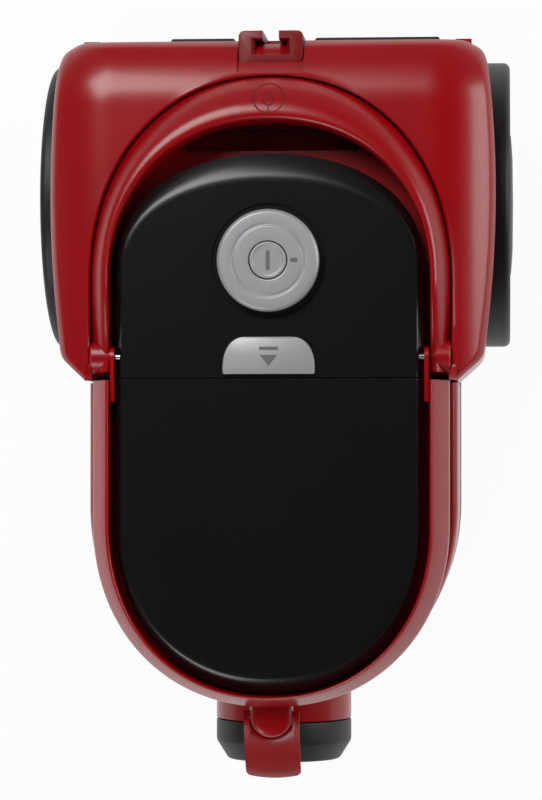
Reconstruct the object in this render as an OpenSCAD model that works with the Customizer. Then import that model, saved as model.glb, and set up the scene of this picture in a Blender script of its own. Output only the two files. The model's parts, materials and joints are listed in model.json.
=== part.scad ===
// Canister vacuum cleaner, standing on its two large rear wheels and a front caster.
// X is the width, +Y points to the rear, +Z is up, and the hose inlet faces -Y.
// Sizes are millimetres. The origin is on the floor, under the middle of the machine.

/* [Body] */
// Width of the lower body between the wheels
body_w = 228; // [220:2:236]
// Distance from the origin to the nose of the lower body
body_front = 178; // [172:1:182]
// Distance from the origin to the rear end of the lower body
body_rear = 220; // [214:1:222]
// Thickness of the moulded walls
wall = 3; // [2.4:0.2:3.4]
// Height of the underside above the floor
ground_gap = 20; // [16:1:24]
// Height of the parting line between chassis and upper shells
split_z = 104; // [101:1:108]
// Height of the dust compartment's rim
rim_z = 188; // [184:1:190]

/* [Rear housing] */
// Width of the rear housing over the wheels
housing_w = 274; // [266:2:284]
// Distance from the origin to the back of the rear housing
housing_rear = 224; // [220:1:226]
// Height of the housing's shoulders
housing_top = 214; // [208:1:216]
// Width of the curved shoulders
shoulder_w = 40; // [30:1:46]
// Height of the curved shoulders
shoulder_h = 16; // [12:1:20]
// Line across the machine where the rear housing meets the front lid
seam_y = 15; // [12:1:17]

/* [Console and lid] */
// Width of the black oval panel
panel_w = 187; // [176:1:188]
// Height of the black oval panel above the floor
panel_top = 222; // [218:1:226]
// Distance from the origin to the rear end of the panel
panel_rear = 152.5; // [146:0.5:154]
// Distance from the origin to the front end of the panel
panel_front = 174; // [168:0.5:176]
// Width of the red band round the lid
band_w = 218; // [214:1:221]
// Distance from the origin to the front of the band
band_front = 184; // [180:1:188]
// Height of the band's crest
band_top = 226; // [223:1:230]
// Height of the lid's hinge pins
lid_pin_z = 219; // [217:0.5:220]
// Diameter of the lid's hinge pins
lid_pin_d = 4; // [3:0.5:5]

/* [Handle] */
// Distance from the origin to the outer rear edge of the handle
handle_rear = 200; // [194:1:202]
// Width of the grip at the rear of the handle
grip_w = 28; // [24:1:30]
// Height of the handle's crest
handle_top = 228; // [224:1:232]
// Height of the handle's pivot
handle_pin_z = 206; // [205.5:0.5:206.5]
// Diameter of the handle's pivot pins
handle_pin_d = 8; // [6:1:9]
// Place of the handle's and the lid's pivots along the machine
pivot_y = 29; // [28:0.5:31]

/* [Controls] */
// Diameter of the speed dial
dial_d = 62.2; // [54:0.2:64]
// Height of the speed dial
dial_h = 9.6; // [8:0.2:12]
// Place of the dial along the machine
dial_y = 87; // [82:1:90]
// Diameter of the power button in the dial
power_d = 22.4; // [18:0.2:23]
// Travel of the power button
power_travel = 2; // [1:0.5:2]
// Width of the release button
release_w = 56; // [48:1:60]
// Length of the release button
release_l = 22.5; // [20:0.5:24]
// Travel of the release button
release_travel = 3; // [2:0.5:4]

/* [Wheels] */
// Diameter of the rear wheels over their tyres
wheel_d = 182; // [172:1:186]
// Width of the rear wheels
wheel_w = 30; // [26:1:30]
// Place of the rear axle along the machine
axle_y = 130; // [126:1:132]
// Diameter of the rear axle stubs
axle_d = 12; // [10:1:14]
// Thickness of the tyre
tyre_t = 7; // [5:1:9]
// Diameter of the caster wheel
caster_d = 44; // [40:1:46]
// Place of the caster's swivel along the machine
caster_y = 95; // [90:1:98]
// Trail of the caster wheel behind its swivel
caster_trail = 14; // [10:1:15]

/* [Hose inlet] */
// Outer diameter of the inlet
inlet_d = 87; // [80:1:90]
// Bore that takes the hose end
inlet_bore_d = 60; // [54:1:62]
// Height of the inlet's axis
inlet_z = 86; // [84:1:90]
// Distance from the origin to the mouth of the inlet
inlet_front = 226; // [222:1:228]
// Length of the black mouth ring
ring_l = 26; // [20:1:28]

/* [Drive and reel] */
// Diameter of the motor's casing
motor_d = 104; // [96:1:108]
// Length of the motor's casing
motor_l = 112; // [100:1:116]
// Diameter of the cord drum's flanges
drum_d = 140; // [130:1:144]
// Width of the cord drum
drum_w = 56; // [50:1:58]

/* [Hidden] */
$fn = 96;
EPS = 0.01;
BIG = 600;
RUN_FIT = 0.05;      // radial clearance of a shaft in its hole
GAP = 0.4;           // clearance round a loose or moving piece
SEAM = 1;            // gap of a parting line
OVAL_N = 2.15;       // roundness of the oval outlines
OVAL_STEPS = 12;     // points in a quarter of an oval

body_half = body_w / 2;
housing_half = housing_w / 2;
panel_half = panel_w / 2;
band_half = band_w / 2;
handle_half = band_half + 0.5;
side_bar = 12;                       // width of the handle's and band's side bars
bar_in = band_half - side_bar;       // inner face of the side bars
well_z = 194;                        // floor of the well that holds the console
well_half = handle_half + 0.8;
well_rear = handle_rear + 0.8;
lid_floor = 203;                     // top of the lid frame's floor
axle_z = wheel_d / 2;
axle_r = axle_d / 2;
wheel_in = body_half + 4;            // inner face of a wheel
wheel_out = wheel_in + wheel_w;
motor_x = 34;
motor_z = 94;
motor_y = 34;                        // front end of the motor's casing
mount_t = 6;
mount_l = 14;
drum_x = -60;
drum_y = 122;
drum_z = 102;
drum_pin_d = 10;
bulkhead_y = 9;
bulkhead_t = 3;
slot_w = 20;
slot_l = 8.5;
block_w = 40;
block_y = 203;
block_rear = 229;
block_z = 142;
block_top = 206;
tab_w = 34;
tab_front = 230;
tab_y = 190;
tab_z = 196;
latch_pin_r = 1.5;
tongue_r = 13;
floor_z = ground_gap + wall;
dome_r = 42;
dome_z = 54;
stem_r = 6;
board_z = well_z + 4;
bevel_w = 8;                         // bevel round the underside
bevel_z = 12;

red = [0.55, 0.01, 0.03];
dark_red = [0.40, 0.01, 0.02];
black = [0.07, 0.07, 0.07];
silver = [0.65, 0.65, 0.66];
steel = [0.72, 0.73, 0.75];
rubber = [0.05, 0.05, 0.05];
paper = [0.85, 0.82, 0.74];
copper = [0.72, 0.42, 0.22];
green = [0.10, 0.35, 0.18];

// ---------------------------------------------------------------- outlines

function bow(c) = sign(c) * pow(abs(c), 2 / OVAL_N);

// Quarter turns from a0 to a1 of an oval with half width a and length b about y
function oval_arc(a, y, b, a0, a1) =
    [for (i = [0:2 * OVAL_STEPS])
        let (t = a0 + (a1 - a0) * i / (2 * OVAL_STEPS))
        [a * bow(cos(t)), y + b * bow(sin(t))]];

// Rear part of an oval: straight sides from y0 back to y, then a round end at y_end
module rear_oval(a, y0, y, y_end) {
    polygon(concat([[-a, y0], [a, y0]], oval_arc(a, y, y_end - y, 0, 180)));
}

// Front part of an oval: straight sides from y0 forward to -y, then a round end at -y_end
module front_oval(a, y0, y, y_end) {
    polygon(concat([[-a, y0]], oval_arc(a, -y, y_end - y, 180, 360), [[a, y0]]));
}

// Outline of the lower body, drawn inwards by inset
module body_outline(inset = 0) {
    front_oval(body_half - inset, body_rear - inset, 60, body_front - inset);
}

module slab(z0, z1) {
    translate([0, 0, z0]) linear_extrude(z1 - z0) children();
}

module box(x0, x1, y0, y1, z0, z1) {
    translate([x0, y0, z0]) cube([x1 - x0, y1 - y0, z1 - z0]);
}

// Cylinder along X from x0 to x1
module x_rod(r, x0, x1, y, z) {
    translate([x0, y, z]) rotate([0, 90, 0]) cylinder(r = r, h = x1 - x0);
}

// Cylinder along Y from y0 to y1
module y_rod(r, y0, y1, x, z) {
    translate([x, y0, z]) rotate([-90, 0, 0]) cylinder(r = r, h = y1 - y0);
}

module z_rod(r, z0, z1, x, y) {
    translate([x, y, z0]) cylinder(r = r, h = z1 - z0);
}

module both_sides() {
    children();
    mirror([1, 0, 0]) children();
}

// ---------------------------------------------------------------- shells

// Right side of the rear housing's outline, drawn inwards by inset: a taper out of the lower body, a bowed side
// and a bevelled rear corner
function housing_side(inset) =
    let (half = housing_half - inset, rear = housing_rear - inset, bow_in = 5.5, nose = 14.5, corner = 19)
    [[body_half - inset, seam_y + inset], [half - bow_in - 2, seam_y + nose + inset],
        [half - bow_in, seam_y + nose + 10], [half, 95], [half, 165], [half - bow_in, rear - 13],
        [half - bow_in - 2.5, rear - 5.5], [half - corner, rear]];

function mirrored(p) = [for (i = [len(p) - 1:-1:0]) [-p[i][0], p[i][1]]];

// Region below a shoulder's curve, out to an upright wall at edge
module under_shoulder(edge, inset) {
    r = (shoulder_w * shoulder_w + shoulder_h * shoulder_h) / (2 * shoulder_h);
    intersection() {
        square([edge - inset, housing_top - inset]);
        union() {
            square([edge - shoulder_w, housing_top - inset]);
            square([edge - inset, housing_top - shoulder_h - 4]);
            translate([edge - shoulder_w, housing_top - r]) circle(r - inset);
        }
    }
}

// Rear housing as a solid: its outline, its side shoulders and its rear shoulder together
module housing_solid(inset = 0) {
    intersection() {
        slab(split_z - (inset > 0 ? 1 : 0), housing_top - inset)
            polygon(concat(housing_side(inset), mirrored(housing_side(inset))));
        translate([0, BIG / 2, 0]) rotate([90, 0, 0]) linear_extrude(BIG) {
            under_shoulder(housing_half, inset);
            mirror([1, 0]) under_shoulder(housing_half, inset);
        }
        translate([-BIG / 2, 0, 0]) rotate([90, 0, 90]) linear_extrude(BIG) under_shoulder(housing_rear, inset);
    }
}

module wheel_well(r) {
    both_sides() x_rod(r, body_half + 0.6, BIG / 2, axle_y, axle_z);
}

module parking_pocket(grow = 0) {
    box(-block_w / 2 - grow, block_w / 2 + grow, block_y - grow, BIG / 2, block_z - grow, BIG / 2);
}

module rear_housing() {
    pin_wall = 9;
    color(red) difference() {
        housing_solid();
        difference() {
            housing_solid(wall);
            both_sides() box(body_half - wall, body_half + 0.6, 0, BIG / 2, 0, BIG / 2);
            both_sides() x_rod(wheel_d / 2 + 4 + wall, body_half - wall, BIG / 2, axle_y, axle_z);
            slab(well_z - wall, BIG) rear_oval(well_half + wall, 0, 75, well_rear + wall);
            both_sides() x_rod(handle_pin_d / 2 + 4, well_half, well_half + pin_wall, pivot_y, handle_pin_z);
            parking_pocket(wall);
        }
        wheel_well(wheel_d / 2 + 4);
        slab(well_z, BIG) rear_oval(well_half, 0, 75, well_rear);
        finger_well_outline(GAP / 2);
        parking_pocket(GAP / 2);
        both_sides() x_rod(handle_pin_d / 2, well_half - 1, well_half + pin_wall - 2, pivot_y, handle_pin_z);
        grille_opening(GAP / 2);
        y_rod(cord_bush_r + 0.2, 0, BIG / 2, cord_x, cord_z);
        box(-body_half + wall, body_half - wall, 0, seam_y + wall + 1, 0, rim_z - wall - 1);
    }
}
cord_bush_r = 7;
cord_x = -70;
cord_z = 150;
grille_half = 100;
grille_z0 = 110;
grille_z1 = 134;

module grille_opening(grow = 0) {
    box(-grille_half - grow, grille_half + grow, housing_rear - wall - 1, BIG / 2,
        grille_z0 - grow, grille_z1 + grow);
}

module finger_well_outline(grow = 0) {
    deep = 22;
    box(-62 - grow, 62 + grow, panel_rear + 3 - grow, handle_rear - grip_w - 1 + grow, well_z - deep - grow, BIG / 2);
}

// Tray under the handle that makes room for the fingers
module finger_well() {
    t = 2;
    color(dark_red) difference() {
        intersection() {
            finger_well_outline();
            box(-BIG, BIG, 0, BIG, 0, well_z);
        }
        translate([0, 0, t]) intersection() {
            box(-62 + t, 62 - t, panel_rear + 3 + t, handle_rear - grip_w - 1 - t, 0, BIG / 2);
            box(-BIG, BIG, 0, BIG, well_z - 22, BIG / 2);
        }
    }
}

// Lower body as a solid with a bevelled underside
module tub_solid(z, inset) {
    hull() {
        slab(z, z + 1) body_outline(bevel_w + inset);
        slab(z + bevel_z, split_z + (inset > 0 ? 1 : 0)) body_outline(inset);
    }
}

module chassis() {
    color(black) difference() {
        union() {
            difference() {
                tub_solid(ground_gap, 0);
                tub_solid(floor_z, wall);
            }
            z_rod(dome_r + wall, ground_gap, dome_z + wall, 0, -caster_y);
            z_rod(stem_r + 6, dome_z, dome_z + 18, 0, -caster_y);
            intersection() {
                both_sides() x_rod(axle_r + 8, body_half - 18, body_half - 1, axle_y, axle_z);
                slab(0, split_z);
            }
            motor_cradle(motor_y + 4);
            motor_cradle(motor_y + motor_l - mount_l - 4);
            case_posts();
        }
        z_rod(dome_r, 0, dome_z, 0, -caster_y);
        z_rod(stem_r + 2, 0, dome_z + 30, 0, -caster_y);
        both_sides() x_rod(axle_r, body_half - 16, body_half + 5, axle_y, axle_z);
        y_rod(inlet_d / 2 + 0.3, -BIG / 2, -120, 0, inlet_z);
        case_holes();
    }
}

module motor_cradle(y) {
    half = motor_d / 2 - 4;
    difference() {
        box(motor_x - half, motor_x + half, y + 2, y + mount_l - 2, floor_z - 1, motor_z - 6);
        y_rod(motor_d / 2 + mount_t + RUN_FIT, y - 1, y + mount_l + 1, motor_x, motor_z);
    }
}

post_spots = [[-98, -20], [98, -20], [-98, 205], [98, 205]];

module case_posts() {
    for (p = post_spots) z_rod(5, floor_z - 1, split_z - 0.3, p[0], p[1]);
}

module case_holes() {
    for (p = post_spots) {
        z_rod(2, floor_z - 2, split_z + 1, p[0], p[1]);
        z_rod(4, ground_gap - 1, floor_z + 20, p[0], p[1]);
    }
}

// Screws that close the case from below
module case_screws() {
    color(steel) for (p = post_spots) {
        z_rod(3.6, floor_z + 17, floor_z + 20, p[0], p[1]);
        z_rod(2, floor_z + 20, split_z - 6, p[0], p[1]);
    }
}

// Walls of the dust compartment in front of the seam
module front_body() {
    color(red) difference() {
        slab(split_z, rim_z) intersection() {
            body_outline();
            translate([-BIG / 2, -BIG]) square([BIG, BIG + seam_y - SEAM]);
        }
        slab(split_z - 1, rim_z - wall) difference() {
            body_outline(wall);
            translate([-BIG / 2, seam_y - SEAM - wall]) square([BIG, BIG]);
        }
        slab(split_z, BIG) front_oval(band_half - 9, seam_y - SEAM - wall, 70, band_front - 16);
        y_rod(inlet_d / 2 + 0.3, -BIG / 2, -120, 0, inlet_z);
        box(-body_half + wall, body_half - wall, bulkhead_y - GAP, seam_y, split_z - 1, rim_z - wall);
    }
}

// Partition between the dust compartment and the motor, with the filter's window
module bulkhead() {
    half = body_half - wall - GAP;
    top = rim_z - wall - 1;
    color(black) difference() {
        translate([0, bulkhead_y + bulkhead_t, 0]) rotate([90, 0, 0]) linear_extrude(bulkhead_t) polygon([
            [bevel_w - half, floor_z], [half - bevel_w, floor_z], [half, floor_z + bevel_z], [half, top],
            [-half, top], [-half, floor_z + bevel_z]]);
        y_rod(40, 0, 20, motor_x, motor_z);
    }
}

// ---------------------------------------------------------------- console and controls

bevel_h = 6;
collar_r = power_d / 2 + 2;
collar_h = 6;

module console_solid(inset = 0) {
    half = panel_half - inset;
    hull() {
        slab(well_z, panel_top - bevel_h - inset) rear_oval(half, seam_y + 1.5 + inset, 85, panel_rear - inset);
        slab(well_z, panel_top - inset) rear_oval(half - 4, seam_y + 1.5 + inset, 85, panel_rear - 15 - inset);
    }
}

module release_outline(grow = 0) {
    half = release_w / 2 + grow;
    corner = 11;
    y0 = seam_y + 3.5;
    translate([-half, y0 - grow]) square([2 * half, release_l - corner + grow]);
    for (s = [-1, 1]) translate([s * (release_w / 2 - corner), y0 + release_l - corner]) circle(corner + grow);
    translate([corner - release_w / 2, y0]) square([release_w - 2 * corner, release_l + grow]);
}

module console() {
    color(black) difference() {
        union() {
            difference() {
                console_solid();
                translate([0, 0, -EPS]) console_solid(2.5);
                z_rod(dial_d / 2 + 3.7, panel_top - 1, BIG, 0, dial_y);
            }
            z_rod(collar_r, panel_top - 3, panel_top + collar_h, 0, dial_y);
            both_sides() x_rod(5, panel_half - 9, panel_half - 2, pivot_y, lid_pin_z - 3);
        }
        z_rod(power_d / 2 + GAP, 0, BIG, 0, dial_y);
        slab(0, BIG) release_outline(GAP);
        both_sides() x_rod(lid_pin_d / 2, panel_half - 10, BIG / 4, pivot_y, lid_pin_z);
    }
}

board_top = board_z + 1.6;
switch_top = 210;

module control_board() {
    color(green) difference() {
        box(-45, 45, 55, 125, board_z, board_top);
        for (x = [-40, 40]) for (y = [60, 120]) z_rod(1.6, 0, BIG, x, y);
    }
    color(black) for (x = [-40, 40]) for (y = [60, 120]) {
        z_rod(3, well_z, board_z, x, y);
        z_rod(1.5, board_z, board_top + 2, x, y);
    }
}

module power_switch() {
    color(black) box(-6, 6, dial_y - 6, dial_y + 6, board_top, switch_top);
}

// Ring potentiometer round the power switch, turned by the dial's skirt
module speed_pot() {
    color(black) difference() {
        z_rod(19, board_top, board_top + 7, 0, dial_y);
        z_rod(11, 0, BIG, 0, dial_y);
    }
}

dial_z0 = panel_top - 0.6;

module speed_dial() {
    color(silver) difference() {
        union() {
            z_rod(dial_d / 2, dial_z0, dial_z0 + dial_h - 1.5, 0, dial_y);
            z_rod(dial_d / 2 - 1.5, dial_z0, dial_z0 + dial_h, 0, dial_y);
        }
        z_rod(collar_r + RUN_FIT, 0, panel_top + collar_h + RUN_FIT, 0, dial_y);
        z_rod(power_d / 2 + GAP, 0, BIG, 0, dial_y);
        translate([0, 0, dial_z0 + dial_h - 0.5]) linear_extrude(5) difference() {
            translate([0, dial_y]) circle(0.7 * dial_d / 2);
            translate([0, dial_y]) circle(0.7 * dial_d / 2 - 1);
        }
    }
}

module power_button() {
    color(silver) difference() {
        union() {
            z_rod(power_d / 2, panel_top - 8, dial_z0 + dial_h + 0.4, 0, dial_y);
            z_rod(3, switch_top + power_travel + 0.3, panel_top - 7, 0, dial_y);
        }
        box(-1.2, 1.2, dial_y - 6, dial_y + 6, dial_z0 + dial_h, BIG);
    }
}

module release_button() {
    color(silver) difference() {
        union() {
            slab(panel_top - 8, panel_top + 3) release_outline();
            z_rod(4, panel_top - 12, panel_top - 7, 0, seam_y + 14);
        }
        box(-5.7, 5.7, seam_y + 17, seam_y + 19, panel_top + 2.5, BIG);
        slab(panel_top + 2.5, BIG) polygon([[-5.3, seam_y + 14.5], [5.3, seam_y + 14.5], [0, seam_y + 8]]);
    }
}

spring_top = panel_top - 8;

module release_spring() {
    color(steel) difference() {
        z_rod(6.5, well_z, spring_top, 0, seam_y + 14);
        z_rod(5, 0, BIG, 0, seam_y + 14);
    }
}

// ---------------------------------------------------------------- handle

pivot_r = 10.5;

module handle_solid() {
    side = 203;
    crest = 213;
    hull() {
        slab(side, crest) rear_oval(handle_half, pivot_y, 75, handle_rear);
        slab(side, handle_top) rear_oval(bar_in + 2.5, pivot_y, 75, handle_rear - grip_w + 4);
    }
}

module carry_handle() {
    color(red) difference() {
        union() {
            intersection() {
                handle_solid();
                translate([0, pivot_y, 0]) rotate([90, 0, 90]) translate([0, 0, -BIG / 2]) linear_extrude(BIG)
                    polygon([[0, handle_pin_z - 4], [BIG, handle_pin_z - 4], [BIG, BIG],
                        [30, BIG], [30, handle_top], [0, handle_pin_z + pivot_r]]);
            }
            both_sides() x_rod(pivot_r, bar_in, handle_half, pivot_y, handle_pin_z);
        }
        slab(0, BIG) rear_oval(bar_in + 0.4, -BIG, 75, handle_rear - grip_w);
        both_sides() x_rod(handle_pin_d / 2 + RUN_FIT, bar_in + 4, BIG / 4, pivot_y, handle_pin_z);
    }
}

module handle_pins() {
    color(steel) both_sides() x_rod(handle_pin_d / 2, bar_in + 5, well_half + 7, pivot_y, handle_pin_z);
}

// ---------------------------------------------------------------- lid

module lid_band_solid() {
    hull() {
        slab(rim_z + 2, 209) front_oval(band_half, seam_y, 70, band_front);
        slab(rim_z + 2, band_top) front_oval(bar_in + 2, seam_y, 70, band_front - 7);
    }
}

module lid_frame() {
    ear_t = 2.6;
    ear_x = bar_in - ear_t - 0.2;
    color(red) difference() {
        union() {
            difference() {
                lid_band_solid();
                slab(lid_floor, BIG) front_oval(bar_in, BIG, 75, band_front - 7.5);
                slab(0, lid_floor - wall) front_oval(band_half - 9, seam_y - wall, 70, band_front - 16);
            }
            both_sides() {
                box(ear_x, bar_in + 1, seam_y - 14, seam_y - 1, lid_pin_z - 4, lid_pin_z + 2);
                box(ear_x, ear_x + ear_t, seam_y - 14, pivot_y, lid_pin_z - 4, lid_pin_z + 2);
                x_rod(6, ear_x, ear_x + ear_t, pivot_y, lid_pin_z);
            }
            tongue();
        }
        both_sides() x_rod(lid_pin_d / 2 + RUN_FIT, ear_x - 1, ear_x + ear_t + 1, pivot_y, lid_pin_z);
        x_rod(latch_pin_r, -tab_w, tab_w, -tab_y, tab_z);
    }
}

// Round-nosed tongue in front of the band, which carries the latch's pin
module tongue() {
    difference() {
        intersection() {
            slab(tab_z - 5, BIG) {
                translate([0, -tab_y]) circle(tongue_r);
                translate([-tongue_r, -tab_y]) square([2 * tongue_r, tab_y - band_front + 2]);
            }
            translate([-BIG / 2, -tab_y, tab_z]) rotate([90, 0, 90]) linear_extrude(BIG)
                polygon([[-tongue_r, -5], [12, -5], [12, 9], [0, 8], [-tongue_r, 1]]);
        }
        both_sides() x_rod(3.6, tongue_r - 1.6, BIG / 2, -tab_y, tab_z);
    }
}

module panel_solid(inset = 0) {
    half = panel_half - inset;
    hull() {
        slab(lid_floor, panel_top - bevel_h - inset)
            front_oval(half, seam_y + 1 - inset, 75, panel_front - inset);
        slab(lid_floor, panel_top - inset) front_oval(half - 4, seam_y + 1 - inset, 75, panel_front - 8.5 - inset);
    }
}

module lid_panel() {
    color(black) difference() {
        panel_solid();
        translate([0, 0, -EPS]) panel_solid(2.5);
    }
}

module lid_hinge_pins() {
    color(steel) both_sides() x_rod(lid_pin_d / 2, panel_half - 8, bar_in - 0.1, pivot_y, lid_pin_z);
}

module lid_seal() {
    color(rubber) slab(rim_z, rim_z + 2) difference() {
        front_oval(band_half - 3, seam_y - SEAM, 70, band_front - 10);
        front_oval(band_half - 6, seam_y - SEAM - 3, 70, band_front - 13);
    }
}

// Tab that is pulled up to open the lid, with its hook in front of the body's rim
module latch_tab() {
    half = tab_w / 2;
    reach = tab_front - tab_y;
    notch = tongue_r + 0.6;
    color(red) difference() {
        union() {
            difference() {
                union() {
                    x_rod(4, -half, half, -tab_y, tab_z);
                    translate([-half, -tab_y, tab_z]) rotate([90, 0, 90]) linear_extrude(tab_w)
                        polygon([[0, 4], [-14, 2], [-28, -5], [2 - reach, -16], [-reach, -20],
                            [2 - reach, -21], [-28, -9], [-14, -2.5], [0, -4]]);
                }
                z_rod(notch, 0, BIG, 0, -tab_y);
            }
            both_sides() box(notch, half, -tab_y - 3, -tab_y + 3, tab_z - 10, tab_z);
            box(-half, half, -tab_y - 3, -tab_y + 3, tab_z - 10, tab_z - 6);
            box(-8, 8, -tab_y + 1, -tab_y + 3.5, tab_z - 20, tab_z - 8);
        }
        x_rod(latch_pin_r + RUN_FIT, -BIG / 2, BIG / 2, -tab_y, tab_z);
    }
}

module latch_pin() {
    reach = tab_w / 2 - 0.3;
    color(steel) x_rod(latch_pin_r, -reach, reach, -tab_y, tab_z);
}

// Coils on the pin at both sides of the tongue, which close the latch
module latch_spring() {
    color(steel) both_sides() difference() {
        x_rod(3, tongue_r - 1.4, tongue_r + 0.3, -tab_y, tab_z);
        x_rod(latch_pin_r, 0, BIG / 2, -tab_y, tab_z);
    }
}

// ---------------------------------------------------------------- inlet and dust bag

plate_y = 148;
neck_r = inlet_bore_d / 2 + 4;

module inlet_collar() {
    r = inlet_d / 2;
    y0 = inlet_front - ring_l;
    color(red) difference() {
        union() {
            y_rod(r, -y0, -body_front + 12, 0, inlet_z);
            y_rod(neck_r, -body_front + 12, -plate_y - 3, 0, inlet_z);
        }
        y_rod(inlet_bore_d / 2, -BIG / 2, 0, 0, inlet_z);
    }
}

module inlet_ring() {
    r = inlet_d / 2;
    chamfer = 7.5;
    color(black) translate([0, -inlet_front, inlet_z]) rotate([-90, 0, 0]) rotate_extrude()
        polygon([[inlet_bore_d / 2, 0], [r - chamfer, 0], [r, 1.6 * chamfer], [r, ring_l], [inlet_bore_d / 2, ring_l]]);
}

module inlet_seal() {
    color(rubber) difference() {
        y_rod(neck_r + 3, -plate_y - 6, -plate_y - 3, 0, inlet_z);
        y_rod(neck_r, -BIG / 2, 0, 0, inlet_z);
    }
}

module bag_plate() {
    color(paper) difference() {
        box(-50, 50, -plate_y - 3, -plate_y, floor_z + 44, floor_z + 116);
        y_rod(inlet_bore_d / 2 - 2, -BIG / 2, 0, 0, inlet_z);
    }
}

module dust_bag() {
    color(paper) hull() {
        for (x = [-68, 68]) for (z = [96, 162])
            translate([x, -28, z]) sphere(r = 18, $fn = 20);
        for (x = [-45, 45]) for (z = [93, 126])
            translate([x, -plate_y + 0.3 + 14, z]) sphere(r = 14, $fn = 20);
    }
}

// ---------------------------------------------------------------- motor and filters

module pre_filter() {
    color([0.3, 0.45, 0.6]) y_rod(46, bulkhead_y - 7, bulkhead_y, motor_x, motor_z);
}

module motor_casing() {
    r = motor_d / 2;
    color(black) difference() {
        union() {
            y_rod(r, motor_y, motor_y + motor_l, motor_x, motor_z);
            y_rod(36, bulkhead_y + bulkhead_t, motor_y + 1, motor_x, motor_z);
        }
        y_rod(r - wall, motor_y + wall, motor_y + motor_l - wall, motor_x, motor_z);
        y_rod(30, 0, motor_y + wall + 1, motor_x, motor_z);
        y_rod(shaft_r + RUN_FIT, motor_y + motor_l - wall - 1, BIG / 2, motor_x, motor_z);
        for (a = [0:45:315]) translate([motor_x, 0, motor_z]) rotate([0, a, 0])
            y_rod(5, motor_y + motor_l - wall - 1, BIG / 2, 24, 0);
    }
}
shaft_r = 5;

module motor_shaft() {
    y1 = motor_y + motor_l;
    color(copper) y_rod(30, motor_y + 42, y1 - 20, motor_x, motor_z);
    color(steel) y_rod(shaft_r, motor_y + 14, y1 + 2, motor_x, motor_z);
}

module fan() {
    color([0.75, 0.76, 0.78]) difference() {
        union() {
            y_rod(14, motor_y + 10, motor_y + 29, motor_x, motor_z);
            y_rod(44, motor_y + 24, motor_y + 28, motor_x, motor_z);
            for (a = [0:45:315]) translate([motor_x, 0, motor_z]) rotate([0, a, 0])
                box(11, 42, motor_y + 12, motor_y + 26, -1, 1);
        }
        y_rod(shaft_r, 0, BIG / 2, motor_x, motor_z);
    }
}

module motor_mounts() {
    r = motor_d / 2;
    color(rubber) for (y = [motor_y + 4, motor_y + motor_l - mount_l - 4]) difference() {
        y_rod(r + mount_t, y, y + mount_l, motor_x, motor_z);
        y_rod(r, y - 1, y + mount_l + 1, motor_x, motor_z);
    }
}

filter_y0 = 188;

module exhaust_filter() {
    color(paper) box(0, 90, filter_y0, filter_y0 + 16, floor_z + 24, split_z + 26);
    color(black) box(0, 90, filter_y0, filter_y0 + 16, floor_z, floor_z + 24);
}

module exhaust_grille() {
    color(black) difference() {
        union() {
            box(-grille_half, grille_half, housing_rear - wall, housing_rear + 2, grille_z0, grille_z1);
            box(-grille_half - 2, grille_half + 2, housing_rear - wall - 2.4, housing_rear - wall, grille_z0 - 2,
                grille_z1 + 2);
        }
        for (z = [grille_z0 + 4:5:grille_z1 - 5]) for (s = [-1, 1])
            box(s * 55 - 38, s * 55 + 38, 0, BIG, z, z + 2.4);
    }
}

// ---------------------------------------------------------------- cord reel

module cord_drum() {
    r = drum_d / 2;
    x0 = drum_x - drum_w / 2;
    x1 = drum_x + drum_w / 2;
    color([0.82, 0.82, 0.8]) difference() {
        union() {
            x_rod(r, x0, x0 + 2.5, drum_y, drum_z);
            x_rod(32, x0, x1, drum_y, drum_z);
            x_rod(r, x1 - 2.5, x1, drum_y, drum_z);
        }
        x_rod(29, x0 + 2.5, x1 + 1, drum_y, drum_z);
        x_rod(drum_pin_d / 2 + RUN_FIT, -BIG, x1, drum_y, drum_z);
    }
    color([0.82, 0.82, 0.8]) difference() {
        x_rod(9, x0 + 2, x1 - 4, drum_y, drum_z);
        x_rod(drum_pin_d / 2 + RUN_FIT, -BIG, x1, drum_y, drum_z);
    }
}

module drum_axle() {
    color(steel) x_rod(drum_pin_d / 2, drum_x - drum_w / 2 - 4, drum_x + drum_w / 2 + 6, drum_y, drum_z);
}

// Flat clock spring that winds the cord back in
module drum_spring() {
    x1 = drum_x + drum_w / 2;
    color(steel) difference() {
        x_rod(28.5, x1 - 16, x1 - 3, drum_y, drum_z);
        x_rod(9.3, -BIG, x1, drum_y, drum_z);
    }
}

module reel_bracket() {
    x1 = drum_x + drum_w / 2;
    color(black) difference() {
        union() {
            box(x1 + 2, x1 + 5, drum_y - 20, drum_y + 20, floor_z, drum_z);
            x_rod(20, x1 + 2, x1 + 5, drum_y, drum_z);
            box(drum_x - drum_w / 2 - 4.5, drum_x - drum_w / 2 - 2, drum_y + 12, drum_y + 30, floor_z, drum_z);
            box(drum_x - drum_w / 2 - 4.5, drum_x - drum_w / 2 - 2, drum_y - 8, drum_y + 30, drum_z - 8, drum_z + 8);
            box(drum_x - drum_w / 2 - 4.5, x1 + 5, drum_y - 20, drum_y + 30, floor_z, floor_z + 3);
            box(x1 + 2, x1 + 5, brake_y - 5, brake_y + 5, drum_z - 10, brake_z + 4);
            box(x1 + 2, x1 + 5, brake_y - 5, drum_y, drum_z - 10, drum_z);
            x_rod(2, x1 - 8, x1 + 5, brake_y, brake_z);
        }
        x_rod(drum_pin_d / 2, -BIG, BIG, drum_y, drum_z);
    }
}

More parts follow.
